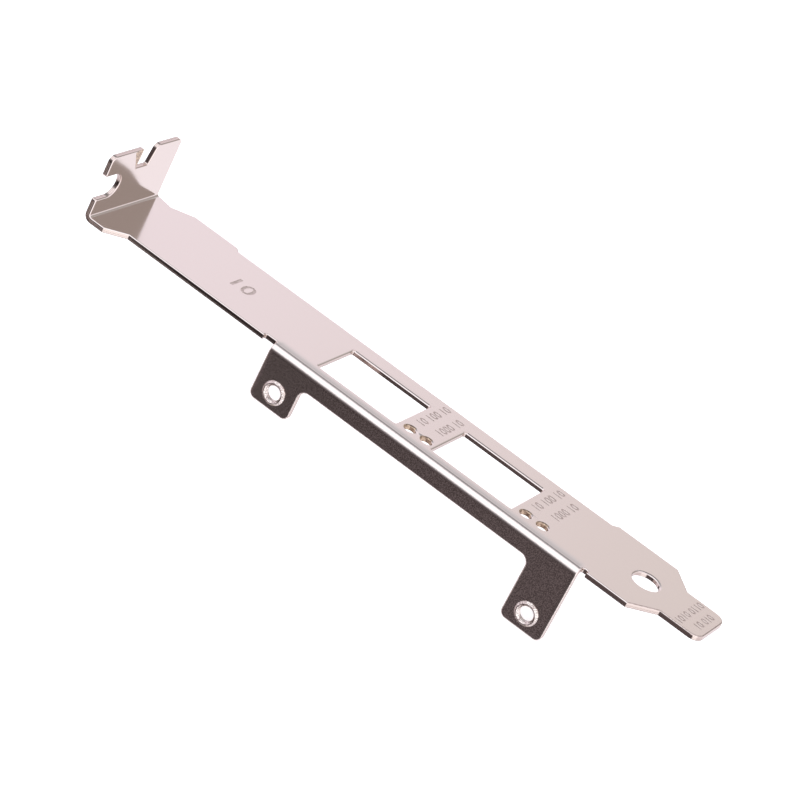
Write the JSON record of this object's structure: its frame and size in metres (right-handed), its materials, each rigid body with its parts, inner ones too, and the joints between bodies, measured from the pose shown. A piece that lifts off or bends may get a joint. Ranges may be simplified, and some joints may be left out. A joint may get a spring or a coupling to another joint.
{
  "type": "expansion slot bracket",
  "caption": "Full-height folded steel bracket that holds a two-port expansion card in its chassis slot, with port windows, light holes, a notched tab and a flange with threaded ears.",
  "frame": {"origin": "on the fixing screw's axis, where the tab's underside bears on the chassis ledge", "axes": "+X across the blade, away from the flange; +Y along the blade, from the tongue to the tab; +Z out of the blade's outer face"},
  "size_m": [0.0215, 0.1209, 0.0261],
  "materials": {
    "nickel_plated_steel": "bright nickel plate over cold-rolled steel"
  },
  "bodies": {
    "root": {"bracket": "nickel_plated_steel"}
  },
  "joints": []
}
